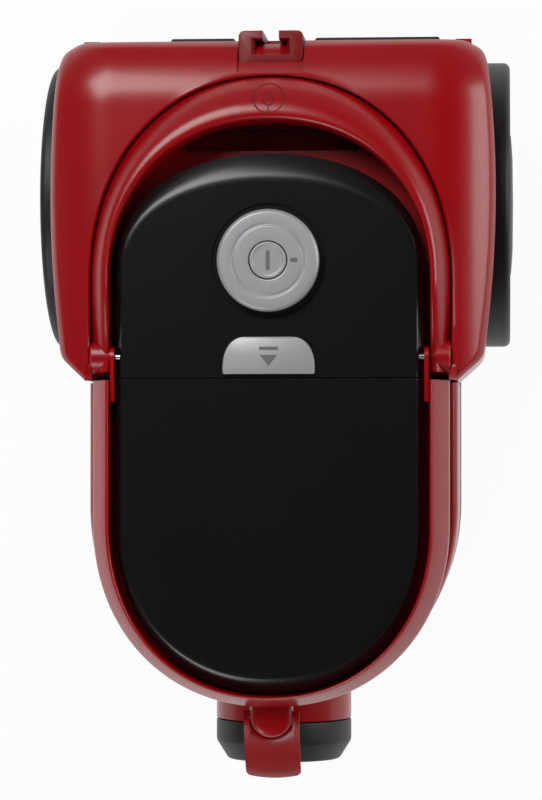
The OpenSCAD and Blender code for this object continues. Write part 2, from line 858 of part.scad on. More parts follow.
// Lever with a pad that holds the drum's flange until the handle's rear is pressed
module brake_lever() {
    x0 = drum_x + drum_w / 2 - 5;
    x1 = x0 + 6;
    color(dark_red) difference() {
        union() {
            box(x0, x1, brake_y, drum_y + 28, brake_z - 3, brake_z + 3);
            x_rod(5, x0, x1, brake_y, brake_z);
            box(x0, x1, drum_y + 4, drum_y + 20, drum_z + drum_d / 2 + 0.3, brake_z);
        }
        x_rod(2 + RUN_FIT, -BIG, BIG, brake_y, brake_z);
    }
}
brake_y = drum_y - 30;
brake_z = drum_z + drum_d / 2 + 8;

module cord_outlet() {
    color(black) difference() {
        union() {
            y_rod(cord_bush_r, housing_rear - 10, housing_rear + 1.5, cord_x, cord_z);
            y_rod(cord_bush_r + 3, housing_rear, housing_rear + 1.5, cord_x, cord_z);
        }
        y_rod(4, 0, BIG / 2, cord_x, cord_z);
    }
}

// ---------------------------------------------------------------- rear fittings

module parking_slot() {
    y0 = slot_y0;
    color(dark_red) difference() {
        intersection() {
            box(-block_w / 2, block_w / 2, block_y, block_rear, block_z, block_top);
            translate([-BIG / 2, 0, 0]) rotate([90, 0, 90]) linear_extrude(BIG)
                polygon([[block_y, 0], [block_rear, 0], [block_rear, block_top - 2], [block_rear - 2, block_top],
                    [block_y, block_top]]);
            slab(0, BIG) {
                translate([-block_w / 2, 0]) square([block_w, block_rear - 5]);
                translate([5 - block_w / 2, 0]) square([block_w - 10, block_rear]);
                for (s = [-1, 1]) translate([s * (block_w / 2 - 5), block_rear - 5]) circle(5);
            }
        }
        box(-slot_w / 2, slot_w / 2, y0, y0 + slot_l, block_z + 4, BIG);
        box(-5, 5, y0 + slot_l - 1, BIG / 2, block_z + 14, BIG);
    }
}
slot_y0 = 215;
foot_rear = 230;

// Feet on the back that the machine stands on when it is stored upright
module rear_feet() {
    color(red) both_sides()
        box(housing_half - 25, housing_half - 15, housing_rear, foot_rear, 112, 150);
}

// ---------------------------------------------------------------- wheels

module wheel() {
    r = wheel_d / 2 - tyre_t;
    color(black) difference() {
        union() {
            x_rod(r, wheel_in + 2, wheel_out - 3, axle_y, axle_z);
            x_rod(axle_r + 9, wheel_in, wheel_out - 3, axle_y, axle_z);
        }
        difference() {
            x_rod(r - 4, wheel_in, wheel_out - 7, axle_y, axle_z);
            x_rod(axle_r + 9, wheel_in, wheel_out, axle_y, axle_z);
        }
        x_rod(axle_r + RUN_FIT, 0, wheel_out - 5, axle_y, axle_z);
    }
}

module tyre() {
    r = wheel_d / 2;
    inner = r - tyre_t;
    w = wheel_w - 3;
    edge = 2.5;
    color(rubber) translate([wheel_in + 1, axle_y, axle_z]) rotate([0, 90, 0]) rotate_extrude()
        polygon([[inner, 0], [r - edge, 0], [r, edge], [r, w - edge], [r - edge, w], [inner, w]]);
}

module hub_cap() {
    color(black) translate([wheel_out - 3, axle_y, axle_z]) rotate([0, 90, 0]) rotate_extrude()
        polygon([[0, 0], [46, 0], [44, 1.6], [30, 3], [0, 3]]);
}

module axle_stub() {
    color(steel) x_rod(axle_r, body_half - 16, wheel_out - 6, axle_y, axle_z);
}

module wheel_right() { wheel(); }
module wheel_left() { mirror([1, 0, 0]) wheel(); }
module tyre_right() { tyre(); }
module tyre_left() { mirror([1, 0, 0]) tyre(); }
module hub_cap_right() { hub_cap(); }
module hub_cap_left() { mirror([1, 0, 0]) hub_cap(); }
module axle_right() { axle_stub(); }
module axle_left() { mirror([1, 0, 0]) axle_stub(); }

caster_r = caster_d / 2;
caster_half = 9;
caster_axle_r = 3;
caster_axle_y = -caster_y + caster_trail;

module caster_fork() {
    color(black) difference() {
        union() {
            z_rod(15, caster_d + 3, caster_d + 8, 0, -caster_y);
            z_rod(stem_r, caster_d + 7, dome_z + 19, 0, -caster_y);
            for (s = [-1, 1]) translate([s * (caster_half + 3), 0, 0]) {
                box(-2, 2, caster_axle_y - 7, caster_axle_y + 7, caster_r, caster_d + 3);
                box(-2, 2, -caster_y - 9, caster_axle_y + 7, caster_d + 3, caster_d + 8);
                x_rod(7, -2, 2, caster_axle_y, caster_r);
            }
        }
        x_rod(caster_axle_r, -BIG / 2, BIG / 2, caster_axle_y, caster_r);
    }
}

module caster_wheel() {
    color(rubber) difference() {
        x_rod(caster_r, -caster_half, caster_half, caster_axle_y, caster_r);
        x_rod(caster_axle_r + RUN_FIT, -BIG / 2, BIG / 2, caster_axle_y, caster_r);
    }
}

module caster_axle() {
    reach = caster_half + 6;
    color(steel) x_rod(caster_axle_r, -reach, reach, caster_axle_y, caster_r);
}

// Bearing bush between the caster's stem and the chassis
module caster_bush() {
    color(steel) difference() {
        z_rod(stem_r + 2, dome_z, dome_z + 18, 0, -caster_y);
        z_rod(stem_r + RUN_FIT, 0, BIG, 0, -caster_y);
    }
}

// ---------------------------------------------------------------- nodes

chassis();
front_body();
rear_housing();
bulkhead();
finger_well();
console();
control_board();
power_switch();
speed_pot();
speed_dial();
power_button();
release_button();
release_spring();
carry_handle();
handle_pins();
lid_frame();
lid_panel();
lid_hinge_pins();
lid_seal();
latch_tab();
latch_pin();
latch_spring();
inlet_collar();
inlet_ring();
inlet_seal();
bag_plate();
dust_bag();
pre_filter();
motor_casing();
motor_shaft();
fan();
motor_mounts();
exhaust_filter();
exhaust_grille();
cord_drum();
drum_axle();
drum_spring();
reel_bracket();
brake_lever();
cord_outlet();
parking_slot();
rear_feet();
wheel_left();
wheel_right();
tyre_left();
tyre_right();
hub_cap_left();
hub_cap_right();
axle_left();
axle_right();
caster_fork();
caster_wheel();
caster_axle();
caster_bush();
case_screws();
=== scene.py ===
"""Canister vacuum cleaner: finished surfaces, materials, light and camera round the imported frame."""

import json
import math

import bmesh
import bpy
import numpy as np
from mathutils import Matrix, Vector


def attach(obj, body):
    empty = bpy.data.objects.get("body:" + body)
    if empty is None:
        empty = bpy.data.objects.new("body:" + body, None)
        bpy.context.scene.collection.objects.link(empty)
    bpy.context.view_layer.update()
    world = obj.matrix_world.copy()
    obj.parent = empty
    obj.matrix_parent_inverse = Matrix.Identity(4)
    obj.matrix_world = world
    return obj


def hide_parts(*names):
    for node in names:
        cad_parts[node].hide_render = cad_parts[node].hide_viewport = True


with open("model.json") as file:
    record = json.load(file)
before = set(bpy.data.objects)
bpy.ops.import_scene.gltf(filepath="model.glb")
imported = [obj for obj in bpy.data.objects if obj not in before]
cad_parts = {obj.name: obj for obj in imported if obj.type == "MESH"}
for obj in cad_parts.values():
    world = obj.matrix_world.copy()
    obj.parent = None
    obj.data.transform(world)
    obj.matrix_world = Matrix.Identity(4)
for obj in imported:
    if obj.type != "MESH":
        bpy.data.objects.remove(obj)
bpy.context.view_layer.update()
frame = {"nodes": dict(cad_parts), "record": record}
nodes = frame["nodes"]

MM = 0.001
OVAL_N = 2.15            # roundness of the oval outlines
SMOOTH = math.radians(32)

# Driving places and sizes in millimetres, in the frame of the machine
SEAM_Y = 15.0            # front body and lid before it, rear housing and console behind
SPLIT_Z = 104.0          # lower body below, upper shells above
BODY_HALF = 114.0
BODY_FRONT = -178.0
BEND_Y = -60.0           # where the body's straight sides end and its round front starts
PIVOT = (29.0, 206.0)    # y and z of the handle's pivot
HANDLE_HALF = 109.5
GRIP_REAR = 200.0
GRIP_W = 28.0
BAR_IN = 97.0
BAND_HALF = 109.0
WELL_Z = 194.0
AXLE = (130.0, 91.0)     # y and z of the rear axle
DIAL_Y = 87.0
INLET_Z = 86.0
INLET_R = 43.5
CASTER_Y = -95.0
ARCH_R = 95.0            # radius of the wheel arches
TAB = (-190.0, 196.0)    # y and z of the latch's pin


# ---------------------------------------------------------------- colours and materials

def linear(code):
    """sRGB hex to linear RGBA."""
    rgb = [int(code[i:i + 2], 16) / 255 for i in (0, 2, 4)]
    return tuple(c / 12.92 if c <= 0.04045 else ((c + 0.055) / 1.055) ** 2.4 for c in rgb) + (1.0,)


def add(tree, kind, settings=None, **links):
    """Adds a node, sets its properties and sockets, and links sockets named in links."""
    node = tree.nodes.new(kind)
    for key, value in (settings or {}).items():
        if isinstance(key, str) and hasattr(node, key):
            setattr(node, key, value)
        else:
            node.inputs[key].default_value = value
    for key, source in links.items():
        tree.links.new(source, node.inputs[key.replace("_", " ")])
    return node


def moulded(name, low, high, rough, grain_mm, depth_mm, metallic=0.0, coat=0.0, patch_mm=60.0, spread=0.05):
    """A surface whose colour drifts between two near shades over patch_mm, whose roughness varies by spread,
    and whose grain is a noise of grain_mm across and depth_mm deep."""
    mat = bpy.data.materials.new(name)
    mat.use_nodes = True
    tree = mat.node_tree
    tree.nodes.clear()
    place = add(tree, "ShaderNodeTexCoord").outputs["Object"]
    drift = add(tree, "ShaderNodeTexNoise", {"Scale": 1000 / patch_mm, "Detail": 3.0}, Vector=place)
    shade = add(tree, "ShaderNodeMix", {"data_type": "RGBA", 6: linear(low), 7: linear(high)})
    tree.links.new(drift.outputs["Fac"], shade.inputs[0])
    grain = add(tree, "ShaderNodeTexNoise", {"Scale": 1000 / grain_mm, "Detail": 4.0}, Vector=place)
    gloss = add(tree, "ShaderNodeMapRange", {"To Min": rough - spread, "To Max": rough + spread},
                Value=grain.outputs["Fac"])
    bump = add(tree, "ShaderNodeBump", {"Strength": 1.0, "Distance": depth_mm * MM}, Height=grain.outputs["Fac"])
    skin = add(tree, "ShaderNodeBsdfPrincipled", {"Metallic": metallic, "Coat Weight": coat, "Coat Roughness": 0.08},
               Roughness=gloss.outputs["Result"], Normal=bump.outputs["Normal"])
    tree.links.new(shade.outputs[2], skin.inputs["Base Color"])
    add(tree, "ShaderNodeOutputMaterial", Surface=skin.outputs["BSDF"])
    return mat


MATERIALS = {
    # injection-moulded ABS, polished tool: deep red with a broad soft gloss
    "red_shell": moulded("polished_red_abs", "9a000a", "a2010c", 0.29, 1.6, 0.003, coat=0.08, spread=0.03),
    # the same ABS from a blasted tool, duller; its darker base colour is painted shade for the finger recess and the
    # parking block's level top
    "dark_red": moulded("dark_red_abs_painted_shade", "7a0007", "840209", 0.42, 0.9, 0.010),
    # piano-black ABS panel with a satin sheen
    "black_gloss": moulded("satin_black_abs", "0c0c0d", "111112", 0.26, 1.2, 0.004, spread=0.03),
    # talc-filled polypropylene with a fine eroded grain
    "black_plastic": moulded("eroded_black_polypropylene", "161616", "1e1e1f", 0.50, 0.7, 0.020),
    # silver lacquer with fine flake over ABS
    "silver": moulded("silver_flake_lacquer", "a8a9ab", "b2b3b5", 0.42, 0.5, 0.005, metallic=0.3, coat=0.1),
    # drawn and turned bright steel
    "steel": moulded("turned_bright_steel", "a9abae", "b6b8bb", 0.28, 0.6, 0.004, metallic=1.0),
    # pressed rubber, dull black
    "rubber": moulded("pressed_black_rubber", "0f0f0f", "171717", 0.72, 0.8, 0.020),
    # soft thermoplastic tread, dull black with a fine grain
    "tyre": moulded("soft_tread_elastomer", "0c0c0c", "131313", 0.50, 0.8, 0.025),
    # spun-bonded filter fleece and card, fibrous and pale
    "paper": moulded("spun_bonded_fleece", "cfc6ad", "ddd6c2", 0.90, 0.9, 0.080),
    # open-cell filter foam
    "foam": moulded("open_cell_foam", "2f4558", "3b5268", 0.95, 1.5, 0.400),
    # varnished laminated motor core
    "core": moulded("varnished_laminations", "5a4034", "6e5040", 0.45, 0.5, 0.050, metallic=0.4),
    # pressed aluminium sheet
    "fan": moulded("pressed_aluminium", "b9babd", "c6c7ca", 0.35, 0.7, 0.006, metallic=1.0),
    # solder-masked glass-fibre board
    "board": moulded("solder_mask_green", "0b3d1c", "125228", 0.35, 0.6, 0.010),
    # natural polypropylene drum
    "drum": moulded("natural_polypropylene", "c9c8c2", "d6d5cf", 0.45, 0.8, 0.010),
}
SYMBOL = moulded("pad_printed_dark_red", "6c0006", "740008", 0.40, 0.6, 0.003)
MARK = moulded("pad_printed_grey", "6a6b6d", "737476", 0.45, 0.6, 0.003)

for part in frame["record"]["subparts"]:
    nodes[part["node"]].data.materials.clear()
    nodes[part["node"]].data.materials.append(MATERIALS[part["material_slot"]])


# ---------------------------------------------------------------- mesh making

def piece(name, verts, faces, body, slot, replaced=(), material=None):
    """One mesh from points in millimetres and faces, welded, turned outwards and smoothed below SMOOTH."""
    mesh = bpy.data.meshes.new(name)
    mesh.from_pydata((np.asarray(verts, dtype=float) * MM).tolist(), [], [tuple(map(int, f)) for f in faces])
    bm = bmesh.new()
    bm.from_mesh(mesh)
    bmesh.ops.remove_doubles(bm, verts=bm.verts, dist=2e-6)
    bmesh.ops.dissolve_degenerate(bm, dist=1e-6, edges=bm.edges)
    bmesh.ops.recalc_face_normals(bm, faces=bm.faces)
    bm.to_mesh(mesh)
    bm.free()
    mesh.shade_smooth()
    mesh.set_sharp_from_angle(angle=SMOOTH)
    obj = bpy.data.objects.new(name, mesh)
    bpy.context.scene.collection.objects.link(obj)
    mesh.materials.append(material or MATERIALS[slot])
    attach(obj, body)
    if replaced:
        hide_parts(*replaced)
    return obj


def grid_faces(rows, cols, wrap_rows=False, wrap_cols=False):
    """Quads of a rows by cols grid of points, joined end to end where it wraps."""
    r = np.arange(rows if wrap_rows else rows - 1)
    c = np.arange(cols if wrap_cols else cols - 1)
    a, b = np.meshgrid(r, c, indexing="ij")
    a2, b2 = (a + 1) % rows, (b + 1) % cols
    return np.stack([a * cols + b, a2 * cols + b, a2 * cols + b2, a * cols + b2], -1).reshape(-1, 4)


def capped(grid):
    """Points and faces of a closed skin over a stack of closed loops: walls between them and a cap at each end."""
    rows, cols = grid.shape[:2]
    faces = list(grid_faces(rows, cols, wrap_cols=True))
    faces += [range(cols), range((rows - 1) * cols, rows * cols)]
    return grid.reshape(-1, 3), faces


def bow(v):
    """A sine or cosine bent to the roundness of the oval outlines."""
    return np.sign(v) * np.abs(v) ** (2 / OVAL_N)


def oval_path(half, y0, y_mid, y_end, straight=8, bend=96):
    """Open path: straight side from y0 to y_mid, a superellipse round to y_end, and back down the other side."""
    t = np.linspace(0, math.pi, bend)
    arc = np.stack([half * bow(np.cos(t)), y_mid + (y_end - y_mid) * bow(np.sin(t))], -1)
    side = np.linspace(y0, y_mid, straight, endpoint=False)
    right = np.stack([np.full(straight, half), side], -1)
    left = np.stack([np.full(straight, -half), side[::-1]], -1)
    return np.concatenate([right, arc, left])


def closed_path(half, y0, y_mid, y_end, back=14):
    """The open path closed by a straight back edge at y0."""
    x = np.linspace(-half, half, back + 2)[1:-1]
    return np.concatenate([oval_path(half, y0, y_mid, y_end), np.stack([x, np.full(back, y0)], -1)])


def loft_mesh(rings):
    """Points and faces of a closed skin over rings of one outline family, each (half, y0, y_mid, y_end, z)."""
    loops = []
    for half, y0, y_mid, y_end, z in rings:
        loop = closed_path(half, y0, y_mid, y_end)
        loops.append(np.column_stack([loop, np.full(len(loop), z)]))
    return capped(np.stack(loops))


def loft(name, rings, body, slot, replaced=()):
    """One piece over rings as loft_mesh() takes them."""
    return piece(name, *loft_mesh(rings), body, slot, replaced)


def lathe(name, profile, centre, axis, body, slot, replaced=(), steps=96, mirror=1):
    """One piece from a closed profile of (radius, height) turned round an axis through centre."""
    profile = np.asarray(profile, dtype=float)
    t = np.linspace(0, 2 * math.pi, steps, endpoint=False)
    r, h = profile[:, 0][None, :], profile[:, 1][None, :] * mirror
    u, v = r * np.cos(t)[:, None], r * np.sin(t)[:, None]
    h = np.broadcast_to(h, u.shape)
    order = {"x": (h, u, v), "y": (u, h, v), "z": (u, v, h)}[axis]
    grid = np.stack(order, -1) + np.asarray(centre)
    faces = grid_faces(steps, len(profile), wrap_rows=True, wrap_cols=True)
    return piece(name, grid.reshape(-1, 3), faces, body, slot, replaced)


def rounded(points, radius, steps=6):
    """Polyline with its inner corners rounded: at each corner a quadratic curve between points radius away."""
    points = [np.asarray(p, dtype=float) for p in points]
    out = [points[0]]
    for before, corner, after in zip(points, points[1:], points[2:]):
        a, b = before - corner, after - corner
        ra = min(radius, 0.45 * np.linalg.norm(a))
        rb = min(radius, 0.45 * np.linalg.norm(b))
        start, end = corner + a / np.linalg.norm(a) * ra, corner + b / np.linalg.norm(b) * rb
        for t in np.linspace(0, 1, steps):
            out.append((1 - t) ** 2 * start + 2 * t * (1 - t) * corner + t ** 2 * end)
    return np.array(out + [points[-1]])


def tube(path, radius, sides=8):
    """Points and faces of a round tube along a path, with its ends closed."""
    path = np.asarray(path, dtype=float)
    ahead = np.gradient(path, axis=0)
    ahead /= np.linalg.norm(ahead, axis=1)[:, None]
    across = np.cross(ahead, [0.0, 0.0, 1.0])
    across /= np.linalg.norm(across, axis=1)[:, None]
    up = np.cross(across, ahead)
    t = np.linspace(0, 2 * math.pi, sides, endpoint=False)
    ring = across[:, None] * np.cos(t)[None, :, None] + up[:, None] * np.sin(t)[None, :, None]
    return capped(path[:, None] + radius * ring)


def cut(obj, cutters):
    """Takes closed cutter meshes out of obj, keeps the result as its own mesh and removes the cutters."""
    for cutter in cutters:
        mod = obj.modifiers.new("cut", "BOOLEAN")
        mod.operation, mod.object, mod.solver = "DIFFERENCE", cutter, "EXACT"
    graph = bpy.context.evaluated_depsgraph_get()
    mesh = bpy.data.meshes.new_from_object(obj.evaluated_get(graph))
    obj.modifiers.clear()
    old, obj.data = obj.data, mesh
    bpy.data.meshes.remove(old)
    for cutter in cutters:
        data = cutter.data
        bpy.data.objects.remove(cutter)
        bpy.data.meshes.remove(data)
    obj.data.set_sharp_from_angle(angle=SMOOTH)


def prism(outline, levels):
    """Points and faces of a closed solid through copies of an outline, each (inset share, z)."""
    centre = outline.mean(0)
    loops = [np.column_stack([centre + (outline - centre) * (1 - s), np.full(len(outline), z)]) for s, z in levels]
    return capped(np.stack(loops))


def cutter(verts, faces):
    """A bare closed mesh that cut() takes out of a piece."""
    mesh = bpy.data.meshes.new("cutter")
    mesh.from_pydata((np.asarray(verts) * MM).tolist(), [], [tuple(map(int, f)) for f in faces])
    bm = bmesh.new()
    bm.from_mesh(mesh)
    bmesh.ops.recalc_face_normals(bm, faces=bm.faces)
    bm.to_mesh(mesh)
    bm.free()
    obj = bpy.data.objects.new("cutter", mesh)
    bpy.context.scene.collection.objects.link(obj)
    return obj


def disc_outline(radius, y, steps=96):
    """Circle about the middle line at y."""
    t = np.linspace(0, 2 * math.pi, steps, endpoint=False)
    return np.stack([radius * np.cos(t), y + radius * np.sin(t)], -1)


def rod(radius, axis, start, stop, centre=(0.0, 0.0, 0.0), steps=96):
    """Points and faces of a closed cylinder along an axis, from start to stop, about centre."""
    t = np.linspace(0, 2 * math.pi, steps, endpoint=False)
    loops = []
    for h in (start, stop):
        u, v, w = radius * np.cos(t), radius * np.sin(t), np.full(steps, h)
        loops.append(np.stack({"x": (w, u, v), "y": (u, w, v), "z": (u, v, w)}[axis], -1) + np.asarray(centre))
    return capped(np.stack(loops))


# ---------------------------------------------------------------- shells

def band(name, outer, inner, profile, body, slot, replaced=(), z_scale=None):
    """Open band: profile points (share from outer to inner path, z), joined along the two paths, with end caps.
    A share above 1 runs on from the inner path towards the middle of the seam."""
    middle = np.array([0.0, outer[0][1]])
    rows = []
    for share, z in profile:
        flat = outer + (inner - outer) * min(share, 1.0)
        if share > 1:
            flat = inner + (middle - inner) * (share - 1)
        rise = np.full(len(flat), z) if z_scale is None else z_scale(flat, z)
        rows.append(np.column_stack([flat, rise]))
    return piece(name, *capped(np.stack(rows, 1)), body, slot, replaced)


def handle_profile():
    """Section of the handle: upright outer foot, long slope to a crest near the inner edge, upright inner wall."""
    return rounded([(0.3, 203), (0.0, 203), (0.0, 211), (0.28, 219.5), (0.62, 226.5), (0.9, 228), (1.0, 225.5),
                    (1.0, 203), (0.7, 203)], 2.5, 5)


def handle_rise(flat, z):
    """Section height z at each point of flat: towards the pivots the section sinks and gets lower over length."""
    length = 45.0
    low, top = 203.0, 228.0              # of the full section
    pivot_low, pivot_top = 201.0, 216.5  # of the section at the pivots
    k = np.clip((flat[:, 1] - PIVOT[0]) / length, 0, 1)
    k = k * k * (3 - 2 * k)
    squeezed = pivot_low + (z - low) * (pivot_top - pivot_low) / (top - low)
    return squeezed + (z - squeezed) * k


HANDLE_FOOT = 20.0
grip_outer = oval_path(HANDLE_HALF, HANDLE_FOOT, 75, GRIP_REAR, straight=24)
grip_inner = oval_path(BAR_IN + 0.4, HANDLE_FOOT, 75, GRIP_REAR - GRIP_W, straight=24)
band("handle_grip", grip_outer, grip_inner, handle_profile(), "handle", "red_shell", ["carry_handle"],
     z_scale=handle_rise)
eye = [(0, 0), (9.5, 0), (10.4, 1), (10.4, 11.5), (9.5, 12.5), (0, 12.5)]
for side, label in ((1, "right"), (-1, "left")):
    lathe(f"handle_eye_{label}", eye, (side * (BAR_IN + 0.2), PIVOT[0], PIVOT[1]), "x", "handle", "red_shell",
          mirror=side)


def lid_profile():
    """Section of the lid's band, its floor under the panel and the hollow below, as one closed line."""
    top = rounded([(0.0, 190), (0.0, 208), (0.55, 220), (0.86, 226), (1.0, 225), (1.0, 203.5), (1.03, 203)], 2.2, 5)
    under = [(1.6, 203), (2.0, 203), (2.0, 200), (1.5, 200), (1.0, 200), (0.7, 198), (0.7, 190)]
    return np.concatenate([top, np.array(under)])


lid_outer = oval_path(BAND_HALF, SEAM_Y, -70, -184)
lid_inner = oval_path(BAR_IN, SEAM_Y, -72, -176.6)
band("lid_band", lid_outer, lid_inner, lid_profile(), "lid", "red_shell", ["lid_frame"])


def on_grip(y):
    """Height of the grip's outer slope at y, read off the same section that the grip is made of."""
    section = handle_profile()
    slope = section[(section[:, 1] > 211) & (section[:, 0] < 0.9)]
    return np.interp((GRIP_REAR - y) / GRIP_W, slope[:, 0], slope[:, 1])


def printed(name, flat):
    """Raised print that follows points (x, y) over the grip."""
    flat = np.asarray(flat, dtype=float)
    path = np.column_stack([flat, on_grip(flat[:, 1])])
    return piece(name, *tube(path, 0.42), "handle", "red_shell", material=SYMBOL)


SIGN_Y, SIGN_R = 185.6, 9.4
turn = np.radians(np.linspace(-68, 256, 60))
ring = np.stack([SIGN_R * np.cos(turn), SIGN_Y + SIGN_R * np.sin(turn)], -1)
tail = rounded([(0, SIGN_Y - 4.6), (0, SIGN_Y - 9.2), (-2.27, SIGN_Y - 9.12)], 2.0, 5)
printed("plug_ring", ring)
printed("plug_cord", tail)
half_turn = np.linspace(math.pi, 2 * math.pi, 20)
dish = np.stack([3.2 * np.cos(half_turn), SIGN_Y - 1.4 + 3.2 * np.sin(half_turn)], -1)
left_lip = [(-2.2, SIGN_Y + 0.8), (-3.2, SIGN_Y)]
right_lip = [(3.2, SIGN_Y), (2.2, SIGN_Y + 0.8), (-2.0, SIGN_Y + 0.8)]
printed("plug_body", np.concatenate([left_lip, dish, right_lip]))
for k, x in enumerate((-1.4, 1.4)):
    printed(f"plug_prong_{k}", [(x, SIGN_Y + 0.9), (x, SIGN_Y + 2.5), (x, SIGN_Y + 4.1)])


def ear(side):
    """Points and faces of the plate that reaches back from the lid's floor and turns on the hinge pin."""
    t = np.linspace(-math.pi / 2, math.pi / 2, 16)
    nose = np.stack([PIVOT[0] + 5.8 * np.cos(t), 219 + 5.8 * np.sin(t)], -1)
    flat = np.concatenate([nose, [(2, 221), (2, 215)]])
    verts, faces = prism(flat, [(0, side * 94.0), (0, side * 96.6)])
    return verts[:, [2, 0, 1]], faces


piece("lid_ear_right", *ear(1), "lid", "red_shell")
piece("lid_ear_left", *ear(-1), "lid", "red_shell")


def tongue():
    """Round-nosed tongue in front of the band: a half disc that is crowned towards its rim."""
    t = np.linspace(math.pi, 2 * math.pi, 40)
    nose = np.stack([13 * np.cos(t), TAB[0] + 13 * np.sin(t)], -1)
    return prism(np.concatenate([nose, [(13, -179), (-13, -179)]]),
                 [(0, 191), (0, 199.5), (0.03, 201.2), (0.1, 202.6), (0.22, 203.4), (0.5, 203.8)])


piece("lid_tongue", *tongue(), "lid", "red_shell")


def latch_columns():
    """Latch tab: at each x a closed section from its round notch to a slightly bowed front edge. Its upper line falls
    from the pin in a smooth curve, its lower line runs a varying thickness below it."""
    columns = []
    for x in np.concatenate([[-17, -16.7, -16], np.linspace(-15, 15, 41), [16, 16.7, 17]]):
        back = TAB[0] - math.sqrt(max(13.6 ** 2 - x * x, 0)) if abs(x) < 13.5 else TAB[0] + 3.5
        front = -229.9 + 2.2 * (x / 17) ** 2 + 2.0 * max(0, (abs(x) - 14) / 3) ** 3
        y = np.linspace(back, front, 22)
        fall = np.clip((TAB[0] - y) / 40, 0, 1)
        top = 200.4 - 22.5 * fall ** 1.7
        thick = (4.6 - 2.6 * fall) * (1 - 0.35 * max(0, (abs(x) - 15) / 2) ** 2)
        middle = top - thick / 2 - 0.4
        ends = np.sqrt(np.clip(1 - (2 * np.linspace(0, 1, 22) - 1) ** 8, 0.02, 1))
        upper = np.column_stack([np.full(22, x), y, middle + thick / 2 * ends])
        lower = np.column_stack([np.full(22, x), y, middle - thick / 2 * ends])[::-1]
        columns.append(np.concatenate([upper, lower]))
    return capped(np.stack(columns))


piece("latch_cover", *latch_columns(), "latch", "red_shell", ["latch_tab"])

for side, label in ((1, "right"), (-1, "left")):
    piece(f"pivot_pin_{label}", *rod(4, "x", side * 110.0, side * 116.0, (0, *PIVOT)), "case", "steel",
          ["handle_pins"] if side > 0 else ())

inlet_hole = (INLET_R + 0.3, "y", -240, -120, (0, 0, INLET_Z))
back = SEAM_Y - 1
wall = 3
shell = loft("front_shell", [
    (BODY_HALF, back, BEND_Y, BODY_FRONT, SPLIT_Z), (BODY_HALF, back, BEND_Y, BODY_FRONT, 180),
    (113.6, back, BEND_Y, -177.7, 183.4), (112.6, back, BEND_Y, -176.8, 186),
    (111.2, back, BEND_Y, -175.6, 187.5), (109.6, back, BEND_Y, -174.2, 188)],
    "case", "red_shell", ["front_body"])
cut(shell, [cutter(*loft_mesh([(BODY_HALF - wall, back - wall, BEND_Y, BODY_FRONT + wall, z) for z in (100, 184.8)])),
            cutter(*loft_mesh([(100, back - wall, -70, -168, z) for z in (180, 195)])),
            cutter(*rod(*inlet_hole))])

tub = loft("tub_shell", [
    (103, 209, BEND_Y, -167, 20), (106, 212, BEND_Y, -170, 20.4), (113, 219, BEND_Y, -177, 30),
    (BODY_HALF, 220, BEND_Y, BODY_FRONT, 33), (BODY_HALF, 220, BEND_Y, BODY_FRONT, SPLIT_Z - 0.4)],
    "case", "black_plastic", ["chassis"])
cutters = [cutter(*loft_mesh([(103, 209, BEND_Y, -167, 23), (111, 217, BEND_Y, -175, 34),
                              (111, 217, BEND_Y, -175, 110)])),
           cutter(*rod(44.9, "z", 10, 58, (0, CASTER_Y, 0))), cutter(*rod(*inlet_hole))]
cutters += [cutter(*rod(4, "z", 10, 30, (x, y, 0), steps=32)) for x in (-98, 98) for y in (-20, 205)]
cut(tub, cutters)
dome_profile = rounded([(43.5, 20), (45, 20), (45, 57), (8.1, 57), (8.1, 54), (42, 54), (42, 20.6), (43.5, 20)],
                       1.2, 4)
lathe("caster_dome", dome_profile, (0, CASTER_Y, 0), "z", "case", "black_plastic")


def arc_length(path, count):
    """The path with its points moved so that count of them lie evenly along it."""
    step = np.linalg.norm(np.diff(path, axis=0), axis=1)
    along = np.concatenate([[0], np.cumsum(step)])
    even = np.linspace(0, along[-1], count)
    return np.stack([np.interp(even, along, path[:, k]) for k in (0, 1)], -1)


def housing_outline(count=360):
    """Half-open outline of the rear housing from its right front corner round the back to its left one: a taper
    out of the front body, gently bowed sides and bevelled rear corners."""
    side_y = np.linspace(42, 208, 24)
    side_x = 137 - 5.6 * ((side_y - 131) / 86) ** 2
    taper = rounded([(113.6, SEAM_Y), (129.6, 29.5), (side_x[0], 42)], 5, 8)
    corner = rounded([(side_x[-1], 208), (129.6, 218), (118.5, 224), (90, 224)], 4, 8)
    right = np.concatenate([taper[:-1], np.stack([side_x, side_y], -1)[:-1], corner])
    whole = np.concatenate([right, right[::-1] * [-1, 1]])
    return arc_length(whole, count)


def wheel_cut(y):
    """Height of the wheel arch's edge above the floor at y; the shell's foot where there is no arch."""
    gap = np.clip(ARCH_R ** 2 - (y - AXLE[0]) ** 2, 0, None)
    return np.maximum(SPLIT_Z, AXLE[1] + np.sqrt(gap))


CROWN_HALF = 97.0        # the crown of the rear housing is level up to this x
CROWN_REAR = 184.0       # and up to this y, and falls in an arc beyond both
CROWN_R = 58.0
CROWN_ARC_Z = 156.0      # height of that arc's centre
EDGE_W = 5.0             # width and drop of the soft edge over the wall
EDGE_DROP = 3.0


